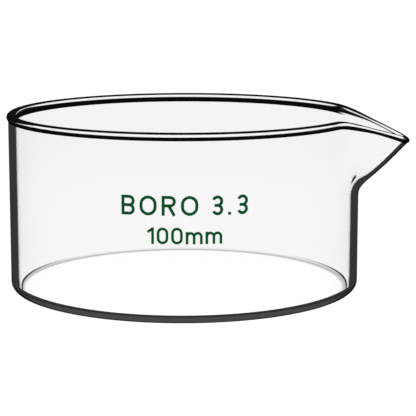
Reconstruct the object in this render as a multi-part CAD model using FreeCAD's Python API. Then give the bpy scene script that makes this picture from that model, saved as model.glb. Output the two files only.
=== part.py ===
import FreeCAD, Part
import math
import os

Vec = FreeCAD.Vector

# Crystallizing dish: a short flat-bottomed glass cylinder with a beaded rim and one pouring spout.
# Lengths in mm, angles in degrees. +Z is up, the origin is the centre of the base's underside,
# and the spout points along +X. The print is on the wall that faces -Y.

# Dish
outer_diameter = 100.0
overall_height = 50.5
wall_thickness = 2.1
base_thickness = 1.6
outer_heel_radius = 2.2
inner_heel_radius = 1.4

# Fire-polished bead along the rim, an oval rod that stands out from both faces of the wall
bead_half_width = 1.4
bead_half_height = 1.1
bead_outside_step = 0.5
bead_fillet = 0.18
bead_foot_ratio = 1.4

# Spout
spout_reach = 14.3
spout_tip_drop = 6.4
spout_keel_depth = 21.2
spout_shoulder_angle = 22.8
spout_nose_angle = 2.1
spout_shoulder_blend = 1.2
spout_keel_blend = 3.1
spout_keel_bulge = 0.4
spout_wall_thickness = 1.5
spout_bead_half_width = 1.0
spout_bead_half_height = 0.65
spout_sector_angle = 40.0
spout_run_in = 1.0
spout_sections = 49
wall_stations = 18
wall_station_crowding = 1.5
foot_stations = 12
crown_stations = 10
guide_step = 0.0005

# How closely the rim's faces are sewn and the two halves joined
sewing_tolerance = 0.0001
joining_tolerance = 0.001
edge_end_gap = 0.01
edge_middle_gap = 1.0

# Print, a thin layer of enamel fired on to the wall
print_thickness = 0.05
print_centre_angle = 6.0
type_letter_height = 5.2
type_stroke = 0.8
type_base_height = 29.0
type_letter_gap = 1.3
size_letter_height = 4.4
size_stroke = 0.7
size_base_height = 21.5
size_letter_gap = 0.75
letter_b_width = 3.6
letter_o_width = 4.5
letter_r_width = 3.7
word_space = 0.6
figure_3_width = 3.3
figure_3_hook_angle = 160.0
figure_1_width = 1.7
figure_1_flag_share = 0.72
figure_0_width = 3.0
letter_m_width = 4.4
letter_m_height_share = 0.74
stroke_stand_off = 1.0
stroke_depth = 4.0

# Sizes that follow from the ones above
outer_radius = outer_diameter / 2
inner_radius = outer_radius - wall_thickness
tip_radius = outer_radius + spout_reach
bead_middle_radius = outer_radius + bead_outside_step - bead_half_width
bead_middle_height = overall_height - bead_half_height
skin_outside_bead_middle = bead_half_width - bead_outside_step
tip_height = bead_middle_height - spout_tip_drop
keel_height = overall_height - spout_keel_depth
keel_rise = (tip_height - keel_height) / spout_reach
sector_bottom = keel_height - keel_rise * spout_keel_blend - spout_run_in


def soft_ramp(value, blend):
    """Zero well below zero, the value itself well above it, with a smooth curve between."""
    if value <= -blend:
        return 0.0
    if value >= blend:
        return value
    return (value + blend) ** 3 * (3 * blend - value) / (16 * blend ** 3)


def ease(share):
    """Smooth step from 0 to 1."""
    share = min(max(share, 0.0), 1.0)
    return 0.5 - 0.5 * math.cos(math.pi * share)


def spout_share(angle):
    """0 on the plain wall and 1 at the nose. In plan, two straight flanks meet at the rounded nose."""
    shoulder = math.radians(spout_shoulder_angle)
    nose = math.radians(spout_nose_angle)
    across = outer_radius * math.sin(shoulder)
    flank_angle = math.atan2(across, tip_radius - outer_radius * math.cos(shoulder))
    turn = math.hypot(math.radians(angle), nose) - nose
    flank_radius = tip_radius * math.sin(flank_angle) / math.sin(flank_angle + turn)
    return soft_ramp(flank_radius - outer_radius, spout_shoulder_blend) / spout_reach


def keel_offset(share_up):
    """How far the nose stands out from the plain wall, at a share of the way up to the tip."""
    height = sector_bottom + (tip_height - sector_bottom) * share_up
    climb = (height - keel_height) / (tip_height - keel_height)
    bulge = spout_keel_bulge * (1 - math.cos(2 * math.pi * min(max(climb, 0.0), 1.0))) / 2
    return soft_ramp(spout_reach * climb, spout_keel_blend) + bulge


def guide_point(angle, share_up):
    """Radius and height on the surface through the bead's middle, at a share of the way up."""
    share = spout_share(angle)
    top = bead_middle_height - spout_tip_drop * share
    radius = bead_middle_radius + keel_offset(share_up) * share
    return radius, sector_bottom + (top - sector_bottom) * share_up


def guide_frame(angle, share_up):
    """The guide's point and its outward normal, in the upright plane at the angle."""
    radius, height = guide_point(angle, share_up)
    radius_above, height_above = guide_point(angle, share_up + guide_step)
    radius_below, height_below = guide_point(angle, share_up - guide_step)
    run = radius_above - radius_below
    rise = height_above - height_below
    size = math.hypot(run, rise)
    return radius, height, rise / size, -run / size


def upright_point(angle, radius, height):
    turn = math.radians(angle)
    return Vec(radius * math.cos(turn), radius * math.sin(turn), height)


def station_depths(foot_depth, full_depth):
    """Depths below the bead's middle at which a section is measured, close together under the bead."""
    depths = []
    for index in range(wall_stations):
        share_down = (1 - index / wall_stations) ** wall_station_crowding
        depths.append(foot_depth + (full_depth - foot_depth) * share_down)
    for index in range(foot_stations + 1):
        depths.append(foot_depth * (1 - index / foot_stations))
    return depths


def wall_section(angle):
    """Points up the outside, over the bead and down the inside, in the upright plane at an angle."""
    share = spout_share(angle)
    slimming = ease(2 * share)
    half_width = bead_half_width + (spout_bead_half_width - bead_half_width) * slimming
    half_height = bead_half_height + (spout_bead_half_height - bead_half_height) * slimming
    full_depth = bead_middle_height - spout_tip_drop * share - sector_bottom
    outside = []
    inside = []
    for depth in station_depths(bead_foot_ratio * half_height, full_depth):
        share_up = 1 - depth / full_depth
        radius, height, out_radial, out_upward = guide_frame(angle, share_up)
        oval = half_width * math.sqrt(max(0.0, 1 - (depth / half_height) ** 2))
        thickness = wall_thickness - (wall_thickness - spout_wall_thickness) * share * ease(share_up)
        skin_inside = thickness - skin_outside_bead_middle
        outward = skin_outside_bead_middle + soft_ramp(oval - skin_outside_bead_middle, bead_fillet)
        inward = skin_inside + soft_ramp(oval - skin_inside, bead_fillet)
        outside.append(upright_point(angle, radius + outward * out_radial, height + outward * out_upward))
        inside.append(upright_point(angle, radius - inward * out_radial, height - inward * out_upward))
    crown_middle = (outside[-1] + inside[-1]) / 2
    crown_across = (outside[-1] - inside[-1]) / 2
    crown_up = upright_point(angle, -out_upward, out_radial) * half_height
    crown = []
    for index in range(1, crown_stations):
        turn = math.pi * index / crown_stations
        crown.append(crown_middle + crown_across * math.cos(turn) + crown_up * math.sin(turn))
    inside.reverse()
    return outside + crown + inside


def make_lower_dish():
    """The flat base, the rounded heel and the plain wall up to the height where the spout begins."""
    heel = outer_heel_radius
    fillet = inner_heel_radius
    bend = math.sqrt(0.5)
    floor = base_thickness
    heel_middle = Vec(outer_radius - heel + heel * bend, 0, heel - heel * bend)
    fillet_middle = Vec(inner_radius - fillet + fillet * bend, 0, floor + fillet - fillet * bend)
    corners = [
        Vec(0, 0, 0),
        Vec(outer_radius - heel, 0, 0),
        Vec(outer_radius, 0, heel),
        Vec(outer_radius, 0, sector_bottom),
        Vec(inner_radius, 0, sector_bottom),
        Vec(inner_radius, 0, floor + fillet),
        Vec(inner_radius - fillet, 0, floor),
        Vec(0, 0, floor),
    ]
    edges = [
        Part.LineSegment(corners[0], corners[1]).toShape(),
        Part.Arc(corners[1], heel_middle, corners[2]).toShape(),
        Part.LineSegment(corners[2], corners[3]).toShape(),
        Part.LineSegment(corners[3], corners[4]).toShape(),
        Part.LineSegment(corners[4], corners[5]).toShape(),
        Part.Arc(corners[5], fillet_middle, corners[6]).toShape(),
        Part.LineSegment(corners[6], corners[7]).toShape(),
        Part.LineSegment(corners[7], corners[0]).toShape(),
    ]
    outline = Part.Face(Part.Wire(edges))
    return outline.revolve(Vec(0, 0, 0), Vec(0, 0, 1), 360)


def make_rim_solids():
    """The upper wall and bead: a smooth sector with the spout, and its end swept round the rest."""
    rows = []
    for index in range(spout_sections):
        rows.append(wall_section(spout_sector_angle * (2 * index / (spout_sections - 1) - 1)))
    surface = Part.BSplineSurface()
    surface.interpolate(rows)
    across = surface.getUKnots()
    around = surface.getVKnots()
    crown_start = wall_stations + foot_stations
    limits = [0, crown_start, crown_start + crown_stations, len(around) - 1]
    faces = []
    for low, high in zip(limits, limits[1:]):
        strip = surface.copy()
        strip.segment(across[0], across[-1], around[low], around[high])
        faces.append(strip.toShape())
    ends = []
    for row in (rows[0], rows[-1]):
        outline = [boundary_edge(face, row) for face in faces]
        outline.append(Part.LineSegment(row[0], row[-1]).toShape())
        ends.append(Part.Face(Part.Wire(outline)))
    foot = [boundary_edge(faces[0], [row[0] for row in rows])]
    foot.append(ends[1].Edges[-1])
    foot.append(boundary_edge(faces[2], [row[-1] for row in rows]))
    foot.append(ends[0].Edges[-1])
    shell = Part.Shell(faces + ends + [Part.Face(Part.Wire(foot))])
    shell.sewShape()
    sector = Part.Solid(shell)
    sector.fix(sewing_tolerance, sewing_tolerance, joining_tolerance)
    rest = ends[1].revolve(Vec(0, 0, 0), Vec(0, 0, 1), 360 - 2 * spout_sector_angle)
    return [sector, rest]


def boundary_edge(face, points):
    """The edge of a face whose two ends and middle all lie on a row of points."""
    for edge in face.Edges:
        ends = [vertex.Point for vertex in edge.Vertexes]
        end_gaps = [min(end.distanceToPoint(point) for point in points) for end in ends]
        middle = edge.valueAt((edge.FirstParameter + edge.LastParameter) / 2)
        middle_gap = min(middle.distanceToPoint(point) for point in points)
        if max(end_gaps) < edge_end_gap and middle_gap < edge_middle_gap:
            return edge
    return None


def make_dish():
    """One piece of glass: the lower dish, the plain rim and the spout, joined into one solid."""
    joined = make_lower_dish().multiFuse(make_rim_solids(), joining_tolerance)
    return joined.removeSplitter()


# Letters are drawn flat at the front of the wall, in strokes, then cut to a thin skin of the wall.
# Across is measured to the right and up from the letter's lower left corner.


def stroke_point(across, up):
    return Vec(across, -outer_radius - stroke_stand_off, up)


def thicken(outline):
    return Part.Face(Part.Wire(outline)).extrude(Vec(0, stroke_depth, 0))


def bar(across_1, up_1, across_2, up_2, width):
    """Straight stroke between two points on its middle line."""
    length = math.hypot(across_2 - across_1, up_2 - up_1)
    side_across = -(up_2 - up_1) / length * width / 2
    side_up = (across_2 - across_1) / length * width / 2
    corners = [
        stroke_point(across_1 + side_across, up_1 + side_up),
        stroke_point(across_2 + side_across, up_2 + side_up),
        stroke_point(across_2 - side_across, up_2 - side_up),
        stroke_point(across_1 - side_across, up_1 - side_up),
    ]
    edges = []
    for index in range(4):
        edges.append(Part.LineSegment(corners[index], corners[(index + 1) % 4]).toShape())
    return thicken(edges)


def bend(across, up, radius, start, end, width):
    """Curved stroke on an arc about a centre, from a start angle to an end angle."""
    def on_arc(arc_radius, angle):
        turn = math.radians(angle)
        return stroke_point(across + arc_radius * math.cos(turn), up + arc_radius * math.sin(turn))
    middle = (start + end) / 2
    wide = radius + width / 2
    narrow = radius - width / 2
    edges = [
        Part.Arc(on_arc(wide, start), on_arc(wide, middle), on_arc(wide, end)).toShape(),
        Part.LineSegment(on_arc(wide, end), on_arc(narrow, end)).toShape(),
        Part.Arc(on_arc(narrow, end), on_arc(narrow, middle), on_arc(narrow, start)).toShape(),
        Part.LineSegment(on_arc(narrow, start), on_arc(wide, start)).toShape(),
    ]
    return thicken(edges)


def letter_o(height, width, stroke):
    """Round-ended ring, used for the letter O and for the figure 0."""
    radius = (width - stroke) / 2
    low = radius + stroke / 2
    high = height - low
    left = stroke / 2
    right = width - stroke / 2
    middle = width / 2
    return [
        bend(middle, high, radius, 0, 180, stroke),
        bend(middle, low, radius, 180, 360, stroke),
        bar(left, low, left, high, stroke),
        bar(right, low, right, high, stroke),
    ]


def letter_b(height, width, stroke):
    radius = (height - stroke) / 4
    low = stroke / 2 + radius
    high = height - stroke / 2 - radius
    turn_in = width - stroke / 2 - radius
    strokes = [bar(stroke / 2, 0, stroke / 2, height, stroke)]
    for level in (stroke / 2, height / 2, height - stroke / 2):
        strokes.append(bar(0, level, turn_in, level, stroke))
    strokes.append(bend(turn_in, low, radius, -90, 90, stroke))
    strokes.append(bend(turn_in, high, radius, -90, 90, stroke))
    return strokes


def letter_r(height, width, stroke):
    radius = (height - stroke) / 4
    high = height - stroke / 2 - radius
    turn_in = width - stroke / 2 - radius
    strokes = [bar(stroke / 2, 0, stroke / 2, height, stroke)]
    for level in (height / 2, height - stroke / 2):
        strokes.append(bar(0, level, turn_in, level, stroke))
    strokes.append(bend(turn_in, high, radius, -90, 90, stroke))
    strokes.append(bar(width / 2, height / 2, width - stroke / 2, 0, stroke))
    return strokes


def figure_3(height, width, stroke):
    radius = (height - stroke) / 4
    low = stroke / 2 + radius
    high = height - stroke / 2 - radius
    middle = width - stroke / 2 - radius
    return [
        bend(middle, high, radius, -90, figure_3_hook_angle, stroke),
        bend(middle, low, radius, -figure_3_hook_angle, 90, stroke),
        bar(middle - stroke, height / 2, middle, height / 2, stroke),
    ]


def full_stop(height, width, stroke):
    return [bar(0, stroke / 2, stroke, stroke / 2, stroke)]


def figure_1(height, width, stroke):
    stem = width - stroke / 2
    return [
        bar(stem, 0, stem, height, stroke),
        bar(0, height * figure_1_flag_share, stem, height - stroke / 2, stroke),
    ]


def letter_m(height, width, stroke):
    """Small m: a stem and two arches, lower than a figure."""
    top = height * letter_m_height_share
    radius = (width - stroke) / 4
    spring = top - stroke / 2 - radius
    strokes = [bar(stroke / 2, 0, stroke / 2, top, stroke)]
    for arch in (1, 3):
        centre = stroke / 2 + radius * arch
        strokes.append(bend(centre, spring, radius, 0, 180, stroke))
        strokes.append(bar(centre + radius, 0, centre + radius, spring, stroke))
    return strokes


def make_print_row(letters, height, stroke, gap, base_height):
    """A row of letters, each turned round the dish to its own place and cut to a skin on the wall."""
    skin = Part.makeCylinder(outer_radius + print_thickness, overall_height)
    skin = skin.cut(Part.makeCylinder(outer_radius, overall_height))
    row_length = -gap
    for shape_letter, width in letters:
        row_length = row_length + width + gap
    solids = []
    reached = -row_length / 2
    for shape_letter, width in letters:
        if shape_letter is not None:
            strokes = shape_letter(height, width, stroke)
            letter = strokes[0].multiFuse(strokes[1:]) if len(strokes) > 1 else strokes[0]
            letter.translate(Vec(-width / 2, 0, base_height))
            turn = print_centre_angle + math.degrees((reached + width / 2) / outer_radius)
            letter.rotate(Vec(0, 0, 0), Vec(0, 0, 1), turn)
            solids.extend(letter.common(skin).removeSplitter().Solids)
        reached = reached + width + gap
    return Part.makeCompound(solids)


def make_type_print():
    """Upper line: the everyday short name of the glass, borosilicate 3.3."""
    letters = [
        (letter_b, letter_b_width),
        (letter_o, letter_o_width),
        (letter_r, letter_r_width),
        (letter_o, letter_o_width),
        (None, word_space),
        (figure_3, figure_3_width),
        (full_stop, type_stroke),
        (figure_3, figure_3_width),
    ]
    return make_print_row(letters, type_letter_height, type_stroke, type_letter_gap, type_base_height)


def make_size_print():
    """Lower line: the dish's outer diameter, 100 mm."""
    letters = [
        (figure_1, figure_1_width),
        (letter_o, figure_0_width),
        (letter_o, figure_0_width),
        (letter_m, letter_m_width),
        (letter_m, letter_m_width),
    ]
    return make_print_row(letters, size_letter_height, size_stroke, size_letter_gap, size_base_height)


os.makedirs("parts", exist_ok=True)
nodes = {
    "dish_glass": make_dish(),
    "glass_type_print": make_type_print(),
    "size_print": make_size_print(),
}
for node, shape in nodes.items():
    shape.exportStep("parts/" + node + ".step")
    print(node, "solids", len(shape.Solids), "valid", shape.isValid(), "volume", round(shape.Volume, 3))
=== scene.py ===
import bmesh
import bpy
import math
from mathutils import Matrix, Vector


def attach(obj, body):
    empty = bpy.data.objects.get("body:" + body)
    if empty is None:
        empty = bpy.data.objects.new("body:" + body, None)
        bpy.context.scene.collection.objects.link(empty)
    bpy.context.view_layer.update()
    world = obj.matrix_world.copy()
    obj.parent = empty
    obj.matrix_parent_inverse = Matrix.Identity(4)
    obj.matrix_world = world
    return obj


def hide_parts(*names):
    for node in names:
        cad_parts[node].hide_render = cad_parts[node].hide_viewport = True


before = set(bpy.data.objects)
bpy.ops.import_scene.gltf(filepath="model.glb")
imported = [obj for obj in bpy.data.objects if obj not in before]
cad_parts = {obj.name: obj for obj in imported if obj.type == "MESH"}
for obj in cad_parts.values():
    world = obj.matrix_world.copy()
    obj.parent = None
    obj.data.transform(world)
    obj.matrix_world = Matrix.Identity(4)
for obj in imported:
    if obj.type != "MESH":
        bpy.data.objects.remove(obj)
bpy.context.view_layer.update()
mm = 0.001


def toLinear(hexColour):
    # sRGB hex to the linear colour that shaders want
    parts = [int(hexColour[i:i + 2], 16) / 255 for i in (1, 3, 5)]
    return tuple(c / 12.92 if c <= 0.04045 else ((c + 0.055) / 1.055) ** 2.4 for c in parts) + (1.0,)


def addNode(tree, kind, settings=None, links=None):
    # links: {input name or number: (node, output name or number)}
    node = tree.nodes.new(kind)
    for name, value in (settings or {}).items():
        if isinstance(name, int) or name in node.inputs:
            node.inputs[name].default_value = value
        else:
            setattr(node, name, value)
    for name, (source, output) in (links or {}).items():
        tree.links.new(source.outputs[output], node.inputs[name])
    return node


def startMaterial(name):
    material = bpy.data.materials.new(name)
    material.use_nodes = True
    material.node_tree.nodes.clear()
    return material, material.node_tree


# Glass body, in mm and degrees. One piece: flat base, rounded heel, straight wall, beaded rim, spout
dish = {
    "outerRadius": 50.0,
    "height": 50.5,
    "wall": 2.1,
    "base": 1.6,
    "outerHeel": 2.2,
    "innerHeel": 1.4,
    "plainStep": 1.0,      # between upright sections on the plain wall
    "spoutStep": 0.5,      # and across the spout
}
bead = {                   # a hair slimmer than the designed one, so that the glass stays inside its box
    "halfWidth": 1.38,
    "halfHeight": 1.1,
    "proud": 0.48,         # how far it stands out from the outer wall
    "fillet": 0.18,
    "footRatio": 1.4,      # the fillet under it ends this many half heights below its middle
    "outerPolishAndDarkLines": 1.05,   # how far below its middle the fire-polished glass with the painted dark lines reaches
    "innerPolishAndDarkLines": 1.45,
}
spout = {
    "reach": 14.3,
    "tipDrop": 6.4,
    "keelDepth": 21.2,     # below the rim, where the keel leaves the wall
    "shoulder": 22.8,      # either side of the middle, where the flanks leave the circle
    "nose": 2.1,           # half the angle of the rounded nose
    "shoulderBlend": 1.2,
    "keelBlend": 3.1,
    "keelBulge": 0.4,
    "wall": 1.5,           # it thins out towards the tip
    "beadHalfWidth": 1.0,
    "beadHalfHeight": 0.65,
    "sector": 40.0,        # either side of the middle, what the spout can reach
    "runIn": 1.0,
}
stations = {               # steps along one upright section
    "plain": 8, "bend": 12, "wall": 40, "foot": 24, "crown": 24,
    "crowding": 1.5,       # closes the wall's steps up towards the bead
    "disc": (0.3, 0.6, 0.85, 0.97),   # shares of the way from the middle of the base to its heel
    "slopeStep": 0.0005,   # share of the wall's height over which its slope is taken
}

tipRadius = dish["outerRadius"] + spout["reach"]
beadMiddleRadius = dish["outerRadius"] + bead["proud"] - bead["halfWidth"]
beadMiddleHeight = dish["height"] - bead["halfHeight"]
skinOut = bead["halfWidth"] - bead["proud"]
tipHeight = beadMiddleHeight - spout["tipDrop"]
keelHeight = dish["height"] - spout["keelDepth"]
keelRise = (tipHeight - keelHeight) / spout["reach"]
sectorBottom = keelHeight - keelRise * spout["keelBlend"] - spout["runIn"]


def softRamp(value, blend):
    if value <= -blend:
        return 0.0
    if value >= blend:
        return value
    return (value + blend) ** 3 * (3 * blend - value) / (16 * blend ** 3)


def ease(share):
    share = min(max(share, 0.0), 1.0)
    return 0.5 - 0.5 * math.cos(math.pi * share)


def spoutShare(angle):
    # 0 on the plain wall, 1 at the nose; in plan, two straight flanks meet there
    if abs(angle) >= spout["sector"]:
        return 0.0
    shoulder, nose = math.radians(spout["shoulder"]), math.radians(spout["nose"])
    radius = dish["outerRadius"]
    flankAngle = math.atan2(radius * math.sin(shoulder), tipRadius - radius * math.cos(shoulder))
    turn = math.hypot(math.radians(angle), nose) - nose
    flankRadius = tipRadius * math.sin(flankAngle) / math.sin(flankAngle + turn)
    return softRamp(flankRadius - radius, spout["shoulderBlend"]) / spout["reach"]


def keelOffset(shareUp):
    # how far the nose stands out from the plain wall
    height = sectorBottom + (tipHeight - sectorBottom) * shareUp
    climb = (height - keelHeight) / (tipHeight - keelHeight)
    bulge = spout["keelBulge"] * (1 - math.cos(2 * math.pi * min(max(climb, 0.0), 1.0))) / 2
    return softRamp(spout["reach"] * climb, spout["keelBlend"]) + bulge


def guidePoint(share, shareUp):
    # the surface through the middle of the bead, carried down the wall
    top = beadMiddleHeight - spout["tipDrop"] * share
    return beadMiddleRadius + keelOffset(shareUp) * share, sectorBottom + (top - sectorBottom) * shareUp


def rimSection(angle):
    # (radius, height) up the outside, over the bead and down the inside
    share = spoutShare(angle)
    slimming = ease(2 * share)
    halfWidth = bead["halfWidth"] + (spout["beadHalfWidth"] - bead["halfWidth"]) * slimming
    halfHeight = bead["halfHeight"] + (spout["beadHalfHeight"] - bead["halfHeight"]) * slimming
    fullDepth = beadMiddleHeight - spout["tipDrop"] * share - sectorBottom
    foot = bead["footRatio"] * halfHeight
    depths = [foot + (fullDepth - foot) * (1 - step / stations["wall"]) ** stations["crowding"]
              for step in range(stations["wall"])]
    depths += [foot * (1 - step / stations["foot"]) for step in range(stations["foot"] + 1)]
    outside, inside = [], []
    for depth in depths:
        up = 1 - depth / fullDepth
        radius, height = guidePoint(share, up)
        above = guidePoint(share, up + stations["slopeStep"])
        below = guidePoint(share, up - stations["slopeStep"])
        run, rise = above[0] - below[0], above[1] - below[1]
        size = math.hypot(run, rise)
        outRadial, outUp = rise / size, -run / size
        oval = halfWidth * math.sqrt(max(0.0, 1 - (depth / halfHeight) ** 2))
        thickness = dish["wall"] - (dish["wall"] - spout["wall"]) * share * ease(up)
        skinIn = thickness - skinOut
        outward = skinOut + softRamp(oval - skinOut, bead["fillet"])
        inward = skinIn + softRamp(oval - skinIn, bead["fillet"])
        outside.append((radius + outward * outRadial, height + outward * outUp))
        inside.append((radius - inward * outRadial, height - inward * outUp))
    (outerR, outerZ), (innerR, innerZ) = outside[-1], inside[-1]
    crown = []
    for step in range(1, stations["crown"]):
        turn = math.pi * step / stations["crown"]
        across, up = math.cos(turn) / 2, math.sin(turn) * halfHeight
        crown.append(((outerR + innerR) / 2 + (outerR - innerR) * across - up * outUp,
                      (outerZ + innerZ) / 2 + (outerZ - innerZ) * across + up * outRadial))
    return outside + crown + inside[::-1]


def lowerOutside():
    # from the middle of the underside, round the heel and up the wall
    heel, radius, bend = dish["outerHeel"], dish["outerRadius"], stations["bend"]
    points = [((radius - heel) * share, 0.0) for share in stations["disc"] + (1.0,)]
    for step in range(1, bend + 1):
        turn = math.pi / 2 * step / bend
        points.append((radius - heel + heel * math.sin(turn), heel - heel * math.cos(turn)))
    for step in range(1, stations["plain"]):
        points.append((radius, heel + (sectorBottom - heel) * step / stations["plain"]))
    return points


def lowerInside():
    # down the inside wall, round the fillet and in to the middle of the floor
    fillet, radius, floor = dish["innerHeel"], dish["outerRadius"] - dish["wall"], dish["base"]
    bend, points = stations["bend"], []
    for step in range(1, stations["plain"]):
        points.append((radius, sectorBottom + (floor + fillet - sectorBottom) * step / stations["plain"]))
    for step in range(bend + 1):
        turn = math.pi / 2 * step / bend
        points.append((radius - fillet + fillet * math.cos(turn), floor + fillet - fillet * math.sin(turn)))
    points += [((radius - fillet) * share, floor) for share in reversed(stations["disc"])]
    return points


def sectionAngles():
    # close together across the spout, wider apart round the rest
    angles, angle, hair = [], -spout["sector"], 1e-6
    for last, step in ((spout["sector"], dish["spoutStep"]), (360 - spout["sector"], dish["plainStep"])):
        while angle < last - hair:
            angles.append(angle)
            angle += step
    return angles


def buildDish():
    mesh = bmesh.new()
    columns = []
    below, within = lowerOutside(), lowerInside()
    for angle in sectionAngles():
        turned = angle if angle < 180 else angle - 360
        profile = below + rimSection(turned) + within
        turn = math.radians(angle)
        columns.append([mesh.verts.new((r * math.cos(turn) * mm, r * math.sin(turn) * mm, z * mm))
                        for r, z in profile])
    underMiddle = mesh.verts.new((0, 0, 0))
    floorMiddle = mesh.verts.new((0, 0, dish["base"] * mm))
    # the faces from rimStart to rimEnd take the second glass, the flame-polished one with painted dark lines
    footStep = bead["footRatio"] * bead["halfHeight"] / stations["foot"]
    bandStart = len(below) + stations["wall"] + stations["foot"]
    rimStart = bandStart - round(bead["outerPolishAndDarkLines"] / footStep)
    rimEnd = bandStart + stations["crown"] + round(bead["innerPolishAndDarkLines"] / footStep)
    for number, column in enumerate(columns):
        nextColumn = columns[(number + 1) % len(columns)]
        mesh.faces.new((underMiddle, nextColumn[0], column[0]))
        mesh.faces.new((floorMiddle, column[-1], nextColumn[-1]))
        for low in range(len(column) - 1):
            face = mesh.faces.new((column[low], nextColumn[low], nextColumn[low + 1], column[low + 1]))
            face.material_index = int(rimStart <= low < rimEnd)
    for face in mesh.faces:
        face.smooth = True
    data = bpy.data.meshes.new("dishGlass")
    mesh.to_mesh(data)
    mesh.free()
    body = bpy.data.objects.new("dishGlass", data)
    bpy.context.scene.collection.objects.link(body)
    return body


# Borosilicate glass, blown in a mould: colourless, clean walls with a faint ripple left by the mould.
# The rim is fire-polished afterwards, which rounds its bead and gives it bright, hard-edged reflections; its
# crown and the underside of its bead are drawn as a dark-tinted mirror of the painted dark studio: painted
# dark lines
glassLook = {
    "colour": "#FFFFFF",
    "ior": 1.473,
    "roughness": 0.0,
    "steep": (0.3, 1.0),     # Fresnel reflection at which the mirror starts, and is whole
    "faceMirror": 0.12,      # share of it on a surface seen face on
    "crown": (40.0, 46.0),   # slope in degrees at which the rim's crown starts to mirror, and does wholly
    "under": (4.0, 0.5),     # and the same for the underside of its bead
    "darkLineMirrorTint": "#525252",   # dark tint of both mirrors, for the painted dark lines
    "rippleSize": 9.0,       # mm between soft waves in the wall
    "rippleHeight": 0.004,   # mm
    "rippleDetail": 1.0,
    "rippleRoughness": 0.4,
}


def clearGlass(tree, mirror, normal):
    # refraction and polish, mixed by how far the surface mirrors
    clear = addNode(tree, "ShaderNodeBsdfRefraction",
                    {"Color": toLinear(glassLook["colour"]), "Roughness": glassLook["roughness"],
                     "IOR": glassLook["ior"]}, {"Normal": normal})
    polished = addNode(tree, "ShaderNodeBsdfPrincipled",
                       {"Base Color": toLinear(glassLook["colour"]), "Roughness": glassLook["roughness"],
                        "IOR": glassLook["ior"], "Transmission Weight": 1.0}, {"Normal": normal})
    return addNode(tree, "ShaderNodeMixShader", None,
                   {0: mirror, 1: (clear, "BSDF"), 2: (polished, "BSDF")})


def surfaceRipple(tree):
    place = addNode(tree, "ShaderNodeTexCoord")
    ripple = addNode(tree, "ShaderNodeTexNoise",
                     {"Scale": 1 / (glassLook["rippleSize"] * mm), "Detail": glassLook["rippleDetail"],
                      "Roughness": glassLook["rippleRoughness"]},
                     {"Vector": (place, "Object")})
    return addNode(tree, "ShaderNodeBump",
                   {"Strength": 1.0, "Distance": glassLook["rippleHeight"] * mm},
                   {"Height": (ripple, "Fac")})


def steepMirror(tree, bump):
    # clear until the surface is steep, then a mirror: thin dark edges on a clean wall
    fresnel = addNode(tree, "ShaderNodeFresnel", {"IOR": glassLook["ior"]}, {"Normal": (bump, "Normal")})
    return addNode(tree, "ShaderNodeMapRange",
                   {"interpolation_type": "SMOOTHSTEP", "From Min": glassLook["steep"][0],
                    "From Max": glassLook["steep"][1], "To Min": glassLook["faceMirror"], "To Max": 1.0},
                   {"Value": (fresnel, "Fac")})


def borosilicateGlass():
    material, tree = startMaterial("borosilicateGlassBlown")
    bump = surfaceRipple(tree)
    steep = steepMirror(tree, bump)
    surface = clearGlass(tree, (steep, "Result"), (bump, "Normal"))
    addNode(tree, "ShaderNodeOutputMaterial", None, {"Surface": (surface, "Shader")})
    return material


def slopeMask(tree, parts, slope):
    # 0 up to the first slope, in degrees above level, and 1 from the second
    return addNode(tree, "ShaderNodeMapRange",
                   {"interpolation_type": "SMOOTHSTEP", "From Min": math.sin(math.radians(slope[0])),
                    "From Max": math.sin(math.radians(slope[1]))},
                   {"Value": (parts, "Z")})


def firePolishedRimWithPaintedDarkLines():
    # the crown and the underside of the bead, picked by slope, are a dark-tinted mirror of the painted dark
    # studio: two painted dark lines round the rim
    material, tree = startMaterial("borosilicateGlassFirePolishedDarkLines")
    bump = surfaceRipple(tree)
    steep = steepMirror(tree, bump)
    shape = addNode(tree, "ShaderNodeNewGeometry")
    parts = addNode(tree, "ShaderNodeSeparateXYZ", None, {0: (shape, "Normal")})
    crown = slopeMask(tree, parts, glassLook["crown"])
    under = slopeMask(tree, parts, glassLook["under"])
    either = addNode(tree, "ShaderNodeMath", {"operation": "MAXIMUM"},
                     {0: (crown, "Result"), 1: (under, "Result")})
    outside = addNode(tree, "ShaderNodeMath", {"operation": "SUBTRACT", 0: 1.0}, {1: (shape, "Backfacing")})
    # painted dark lines: the slope mask, kept to outward faces, turns the glass into the dark-tinted mirror
    paintedDarkLineMask = addNode(tree, "ShaderNodeMath", {"operation": "MULTIPLY"},
                     {0: (either, "Value"), 1: (outside, "Value")})
    glass = clearGlass(tree, (steep, "Result"), (bump, "Normal"))
    mirror = addNode(tree, "ShaderNodeBsdfGlossy",
                     {"Color": toLinear(glassLook["darkLineMirrorTint"]), "Roughness": glassLook["roughness"]},
                     {"Normal": (bump, "Normal")})
    surface = addNode(tree, "ShaderNodeMixShader", None,
                      {0: (paintedDarkLineMask, "Value"), 1: (glass, "Shader"), 2: (mirror, "BSDF")})
    addNode(tree, "ShaderNodeOutputMaterial", None, {"Surface": (surface, "Shader")})
    return material


# Ceramic enamel, screen printed and fired on: opaque dark green, satin, with a fine grain
enamelLook = {
    "colour": "#004F25",
    "thinColour": "#02572D",   # where the screen laid it thinner
    "grain": 0.35,             # mm, coarser than the real grit so that it shows
    "grainDetail": 3.0,
    "grainRoughness": 0.6,
    "grainHeight": 0.01,       # mm
    "grainBump": 0.25,
    "thinFrom": (0.45, 0.8),   # grain at which it starts to look thin, and is thinnest
    "roughness": (0.32, 0.45),
    "shine": 0.04,
    "ior": 1.52,
}


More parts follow.
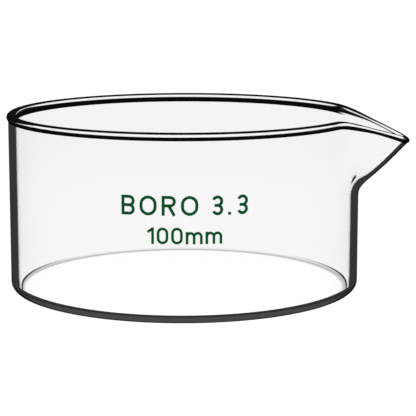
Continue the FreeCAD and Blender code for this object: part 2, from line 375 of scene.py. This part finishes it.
def firedEnamel():
    material, tree = startMaterial("greenCeramicEnamelFired")
    place = addNode(tree, "ShaderNodeTexCoord")
    grain = addNode(tree, "ShaderNodeTexNoise",
                    {"Scale": 1 / (enamelLook["grain"] * mm), "Detail": enamelLook["grainDetail"],
                     "Roughness": enamelLook["grainRoughness"]},
                    {"Vector": (place, "Object")})
    colour = addNode(tree, "ShaderNodeValToRGB", None, {"Fac": (grain, "Fac")})
    for number, name in enumerate(("colour", "thinColour")):
        colour.color_ramp.elements[number].position = enamelLook["thinFrom"][number]
        colour.color_ramp.elements[number].color = toLinear(enamelLook[name])
    gloss = addNode(tree, "ShaderNodeMapRange",
                    {"To Min": enamelLook["roughness"][0], "To Max": enamelLook["roughness"][1]},
                    {"Value": (grain, "Fac")})
    bump = addNode(tree, "ShaderNodeBump",
                   {"Strength": enamelLook["grainBump"], "Distance": enamelLook["grainHeight"] * mm},
                   {"Height": (grain, "Fac")})
    shader = addNode(tree, "ShaderNodeBsdfPrincipled",
                     {"IOR": enamelLook["ior"], "Specular IOR Level": enamelLook["shine"]},
                     {"Base Color": (colour, "Color"), "Roughness": (gloss, "Result"),
                      "Normal": (bump, "Normal")})
    addNode(tree, "ShaderNodeOutputMaterial", None, {"Surface": (shader, "BSDF")})
    return material


# Studio: a white table lit from below and a pale backdrop, both painted dark where polished edges mirror them
# and painted dimmer behind the glass
studio = {
    "tableRadius": 3.0,      # m
    "tableSides": 96,
    "tableDrop": 0.02,       # mm below the dish
    "openGlow": 1.08,        # brightness of table and backdrop where no glass is in front of them
    # seen through the glass, the table is painted brighter under the dish and dimmer behind it, which greys
    # the walls
    "underGlow": 1.08,       # of the table under the dish, through the glass
    "behindGlow": 0.945,     # just behind it, through the glass
    "farGlow": 0.91,         # and further back
    "underEdge": (0.0465, 0.0474),   # m from the middle, where under turns to behind
    "farEdge": (0.12, 0.35),
    "contact": (0.0450, 0.0465, 0.0474, 0.0490),   # m, where the painted soft shade under the heel comes and goes
    # brightness of the painted shade ring under the heel
    "paintedShadeGlow": 0.58,
    "paintedShadeShift": 2.8,       # mm the painted soft shade and the bright disc under the dish lie towards the camera
    "mirroredRoom": 0.085,   # painted dark: what polished edges mirror where they face outwards or up, shown only in reflections
    "mirroredTable": 0.035,  # painted dark as well, where they face down
    "roomGlow": 0.02,        # the ceiling
    "openHaze": (14.0, 30.0),     # degrees above the horizon where the pale backdrop fades to the dark ceiling
    "glassHaze": (-0.5, 2.0),     # and where it does for light bent by the glass
    "softLight": 1.0,        # what lights matt surfaces
}


def blend(tree, share, first, second):
    # numbers or (node, output) pairs, first where share is 0 and second where it is 1
    numbers, links = {"data_type": "FLOAT"}, {0: share}
    for slot, value in ((2, first), (3, second)):
        (numbers if isinstance(value, float) else links)[slot] = value
    return addNode(tree, "ShaderNodeMix", numbers, links), 0


def seenThrough(tree, path, plain, throughGlass, mirrored):
    # plain to the camera, throughGlass past a clear face, and dark past a mirroring one
    share = [addNode(tree, "ShaderNodeMath", {"operation": "GREATER_THAN", 1: 0.5}, {0: (path, depth)})
             for depth in ("Transmission Depth", "Glossy Depth")]
    clear = blend(tree, (share[0], "Value"), plain, throughGlass)
    return blend(tree, (share[1], "Value"), clear, mirrored)


def tableMaterial():
    # opal acrylic lit from below: white and even to the camera, with a painted soft shade ring where the heel
    # stands on it; seen through the glass, it is painted brighter under the dish and dimmer behind it
    material, tree = startMaterial("opalAcrylicLightTable")
    path = addNode(tree, "ShaderNodeLightPath")
    place = addNode(tree, "ShaderNodeTexCoord")
    distance = addNode(tree, "ShaderNodeVectorMath", {"operation": "LENGTH"}, {0: (place, "Object")})
    reach = {"Value": (distance, "Value")}
    further = addNode(tree, "ShaderNodeMapRange",
                      {"interpolation_type": "SMOOTHSTEP", "From Min": studio["farEdge"][0],
                       "From Max": studio["farEdge"][1], "To Min": studio["behindGlow"],
                       "To Max": studio["farGlow"]}, reach)
    under = addNode(tree, "ShaderNodeMapRange",
                    {"From Min": studio["underEdge"][0], "From Max": studio["underEdge"][1],
                     "To Min": studio["underGlow"]}, {**reach, "To Max": (further, "Result")})
    inner = addNode(tree, "ShaderNodeMapRange",
                    {"interpolation_type": "SMOOTHSTEP", "From Min": studio["contact"][0],
                     "From Max": studio["contact"][1]}, reach)
    outer = addNode(tree, "ShaderNodeMapRange",
                    {"interpolation_type": "SMOOTHSTEP", "From Min": studio["contact"][2],
                     "From Max": studio["contact"][3], "To Min": 1.0, "To Max": 0.0}, reach)
    # painted shade: the table's glow drops in a soft ring under the heel, standing in for a contact shadow
    paintedShadeRing = addNode(tree, "ShaderNodeMath", {"operation": "MULTIPLY"},
                   {0: (inner, "Result"), 1: (outer, "Result")})
    withPaintedShade = blend(tree, (paintedShadeRing, "Value"), (under, "Result"), studio["paintedShadeGlow"])
    strength = seenThrough(tree, path, studio["openGlow"], withPaintedShade, studio["mirroredTable"])
    shader = addNode(tree, "ShaderNodeEmission", None, {"Strength": strength})
    addNode(tree, "ShaderNodeOutputMaterial", None, {"Surface": (shader, "Emission")})
    return material


def buildTable():
    mesh = bmesh.new()
    bmesh.ops.create_circle(mesh, cap_ends=True, cap_tris=True, segments=studio["tableSides"],
                            radius=studio["tableRadius"])
    data = bpy.data.meshes.new("lightTable")
    mesh.to_mesh(data)
    mesh.free()
    table = bpy.data.objects.new("lightTable", data)
    table.location = Vector((0, -studio["paintedShadeShift"], -studio["tableDrop"])) * mm
    bpy.context.scene.collection.objects.link(table)
    data.materials.append(tableMaterial())


def fadeUp(tree, low, haze, parts):
    # from low at the horizon to the dark ceiling
    return addNode(tree, "ShaderNodeMapRange",
                   {"interpolation_type": "SMOOTHSTEP", "From Min": math.sin(math.radians(haze[0])),
                    "From Max": math.sin(math.radians(haze[1])), "To Min": low, "To Max": studio["roomGlow"]},
                   {"Value": (parts, "Z")})


def buildRoom():
    world = bpy.data.worlds.new("studioRoom")
    bpy.context.scene.world = world
    world.use_nodes = True
    tree = world.node_tree
    tree.nodes.clear()
    path = addNode(tree, "ShaderNodeLightPath")
    place = addNode(tree, "ShaderNodeTexCoord")
    parts = addNode(tree, "ShaderNodeSeparateXYZ", None, {0: (place, "Generated")})
    plain = fadeUp(tree, studio["openGlow"], studio["openHaze"], parts)
    # seen through the glass, the room is painted dimmer and turns dark just above the horizon
    throughGlass = fadeUp(tree, studio["farGlow"], studio["glassHaze"], parts)
    seen = seenThrough(tree, path, (plain, "Result"), (throughGlass, "Result"), studio["mirroredRoom"])
    soft = blend(tree, (path, "Is Diffuse Ray"), seen, studio["softLight"])
    background = addNode(tree, "ShaderNodeBackground", None, {"Strength": soft})
    addNode(tree, "ShaderNodeOutputWorld", None, {"Surface": (background, "Background")})


# Long lens a little above the rim, almost square on to the print
cameraSetup = {
    "place": (47.42, -463.43, 104.2), # mm
    "pitch": 9.975,                   # degrees below level
    "turn": 5.0,
    "lens": 141.7,
    "film": 36.0,                     # mm across
}
lightBounces = {"transmission_bounces": 24, "glossy_bounces": 16, "max_bounces": 32}


def placeCamera():
    data = bpy.data.cameras.new("camera")
    data.lens = cameraSetup["lens"]
    data.sensor_width = cameraSetup["film"]
    camera = bpy.data.objects.new("camera", data)
    camera.location = Vector(cameraSetup["place"]) * mm
    camera.rotation_euler = (math.radians(90 - cameraSetup["pitch"]), 0, math.radians(cameraSetup["turn"]))
    bpy.context.scene.collection.objects.link(camera)
    bpy.context.scene.camera = camera


glassBody = buildDish()
glassBody.data.materials.append(borosilicateGlass())
glassBody.data.materials.append(firePolishedRimWithPaintedDarkLines())
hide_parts("dish_glass")
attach(glassBody, "root")
print("dish built", len(glassBody.data.polygons), "faces")

enamel = firedEnamel()
for name in ("glass_type_print", "size_print"):
    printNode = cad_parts[name]
    printNode.data.materials.clear()
    printNode.data.materials.append(enamel)
print("print finished")

buildTable()
buildRoom()
placeCamera()
scene = bpy.context.scene
scene.view_settings.view_transform = "Standard"
for name, count in lightBounces.items():
    setattr(scene.cycles, name, count)
print("studio ready")
